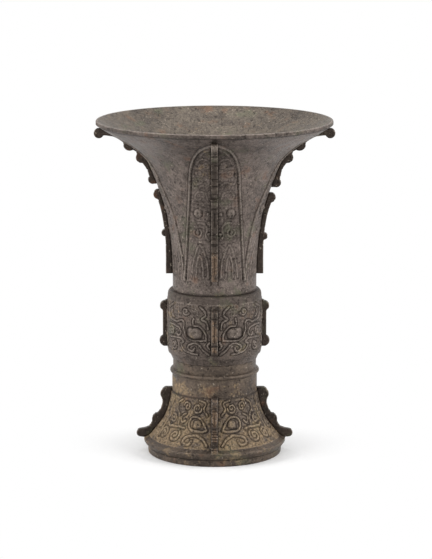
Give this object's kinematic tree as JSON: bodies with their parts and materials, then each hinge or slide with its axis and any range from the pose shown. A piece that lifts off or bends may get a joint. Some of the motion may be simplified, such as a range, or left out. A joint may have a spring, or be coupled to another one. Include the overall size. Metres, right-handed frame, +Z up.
{
  "type": "flanged vase",
  "caption": "Gu-shaped bronze vase with a flared trumpet neck, drum knop, hollow spreading foot and notched hooked side flanges.",
  "frame": {"origin": "centre of the standing ring on the ground", "axes": "+Z up along the vase's axis, the front flange towards -Y"},
  "size_m": [0.1844, 0.1844, 0.26],
  "materials": {
    "bronze_body": "brown patinated cast bronze with earthy deposits in the relief",
    "bronze_flange": "dark brown patinated cast bronze",
    "bronze_plate": "dull brown bronze"
  },
  "bodies": {
    "root": {"neck": "bronze_body", "knop": "bronze_body", "foot": "bronze_body", "base_plate": "bronze_plate", "neck_flange_right": "bronze_flange", "neck_flange_back": "bronze_flange", "neck_flange_left": "bronze_flange", "neck_flange_front": "bronze_flange", "knop_flange_right": "bronze_flange", "knop_flange_back": "bronze_flange", "knop_flange_left": "bronze_flange", "knop_flange_front": "bronze_flange", "foot_flange_right": "bronze_flange", "foot_flange_back": "bronze_flange", "foot_flange_left": "bronze_flange", "foot_flange_front": "bronze_flange"}
  },
  "joints": []
}
